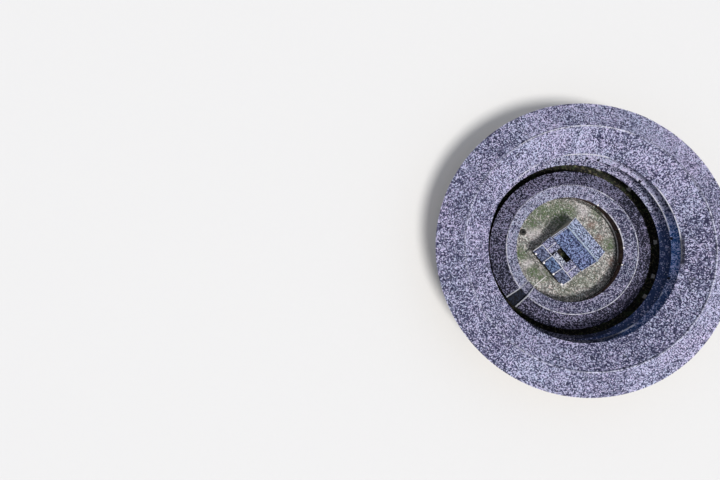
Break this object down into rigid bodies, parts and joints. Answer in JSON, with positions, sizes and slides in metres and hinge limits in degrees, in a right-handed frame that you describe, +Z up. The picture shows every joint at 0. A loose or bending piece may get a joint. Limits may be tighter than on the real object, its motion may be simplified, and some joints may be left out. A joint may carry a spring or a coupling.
{
  "type": "tulou roundhouse, scale model 1:2",
  "caption": "Round rammed-earth house at half size: tiled ring roof on storeys with galleries and pent roofs, a low inner ring with a passage, and a hall with a sky-well in the court.",
  "frame": {"origin": "middle of the court at ground level, in the plane of the plinth's foot", "axes": "+Z up; the gate faces -Y and the rear of the hall +Y; +X is to the right of a person who stands outside and looks at the gate"},
  "size_m": [34.7024, 34.7024, 7.75],
  "materials": {
    "roof_tile": "weathered grey clay tiles",
    "slate_tile": "darker grey clay tiles",
    "old_tile": "old clay tiles, nearly black",
    "red_timber": "old boards with a dark red stain",
    "lime": "weathered lime mortar",
    "rammed_earth": "rough rammed earth",
    "field_stone": "rough stone",
    "court_stone": "cobbles with moss",
    "dark_timber": "old dark boards",
    "whitewash": "old lime plaster"
  },
  "bodies": {
    "root": {"inner_ring_roof_outer": "old_tile", "main_roof_outer": "roof_tile", "main_roof_court": "roof_tile", "pent_roof_lower": "roof_tile", "pent_roof_upper": "roof_tile", "inner_ring_roof_court": "roof_tile", "hall_roof_rear": "roof_tile", "hall_roof_front_left": "roof_tile", "hall_roof_front_right": "roof_tile", "hall_roof_wing_left": "roof_tile", "hall_roof_wing_right": "roof_tile", "passage_roof": "slate_tile", "hall_roof_front_middle": "slate_tile", "main_ridge": "lime", "inner_ring_ridge": "lime", "hall_ridge_rear": "lime", "earth_wall_front_lower": "rammed_earth", "earth_wall_front_upper": "rammed_earth", "earth_wall_front_right": "rammed_earth", "earth_wall_right_lower": "rammed_earth", "earth_wall_right_upper": "rammed_earth", "earth_wall_right_back": "rammed_earth", "earth_wall_back_lower": "rammed_earth", "earth_wall_back_upper": "rammed_earth", "earth_wall_back_left": "rammed_earth", "earth_wall_left_lower": "rammed_earth", "earth_wall_left_upper": "rammed_earth", "earth_wall_left_front": "rammed_earth", "stone_plinth": "field_stone", "gate_frame": "field_stone", "court_path": "field_stone", "well_kerb": "field_stone", "hall_platform": "field_stone", "court_floor": "court_stone", "court_posts_right": "dark_timber", "court_posts_left": "dark_timber", "floor_storey_2": "dark_timber", "floor_storey_3": "dark_timber", "floor_storey_4": "dark_timber", "room_front_storey_1": "dark_timber", "room_front_storey_2": "dark_timber", "room_front_storey_3": "dark_timber", "room_front_storey_4": "dark_timber", "gallery_parapet_2": "dark_timber", "gallery_parapet_3": "dark_timber", "gallery_parapet_4": "dark_timber", "gate_leaf_left": "dark_timber", "gate_leaf_right": "dark_timber", "hall_frame": "dark_timber", "inner_ring_wall_court": "red_timber", "inner_ring_wall_outer": "whitewash", "passage_wall_left": "whitewash", "passage_wall_right": "whitewash", "hall_wall_left": "whitewash", "hall_wall_right": "whitewash", "hall_wall_back": "whitewash", "hall_wall_front": "whitewash"}
  },
  "joints": []
}
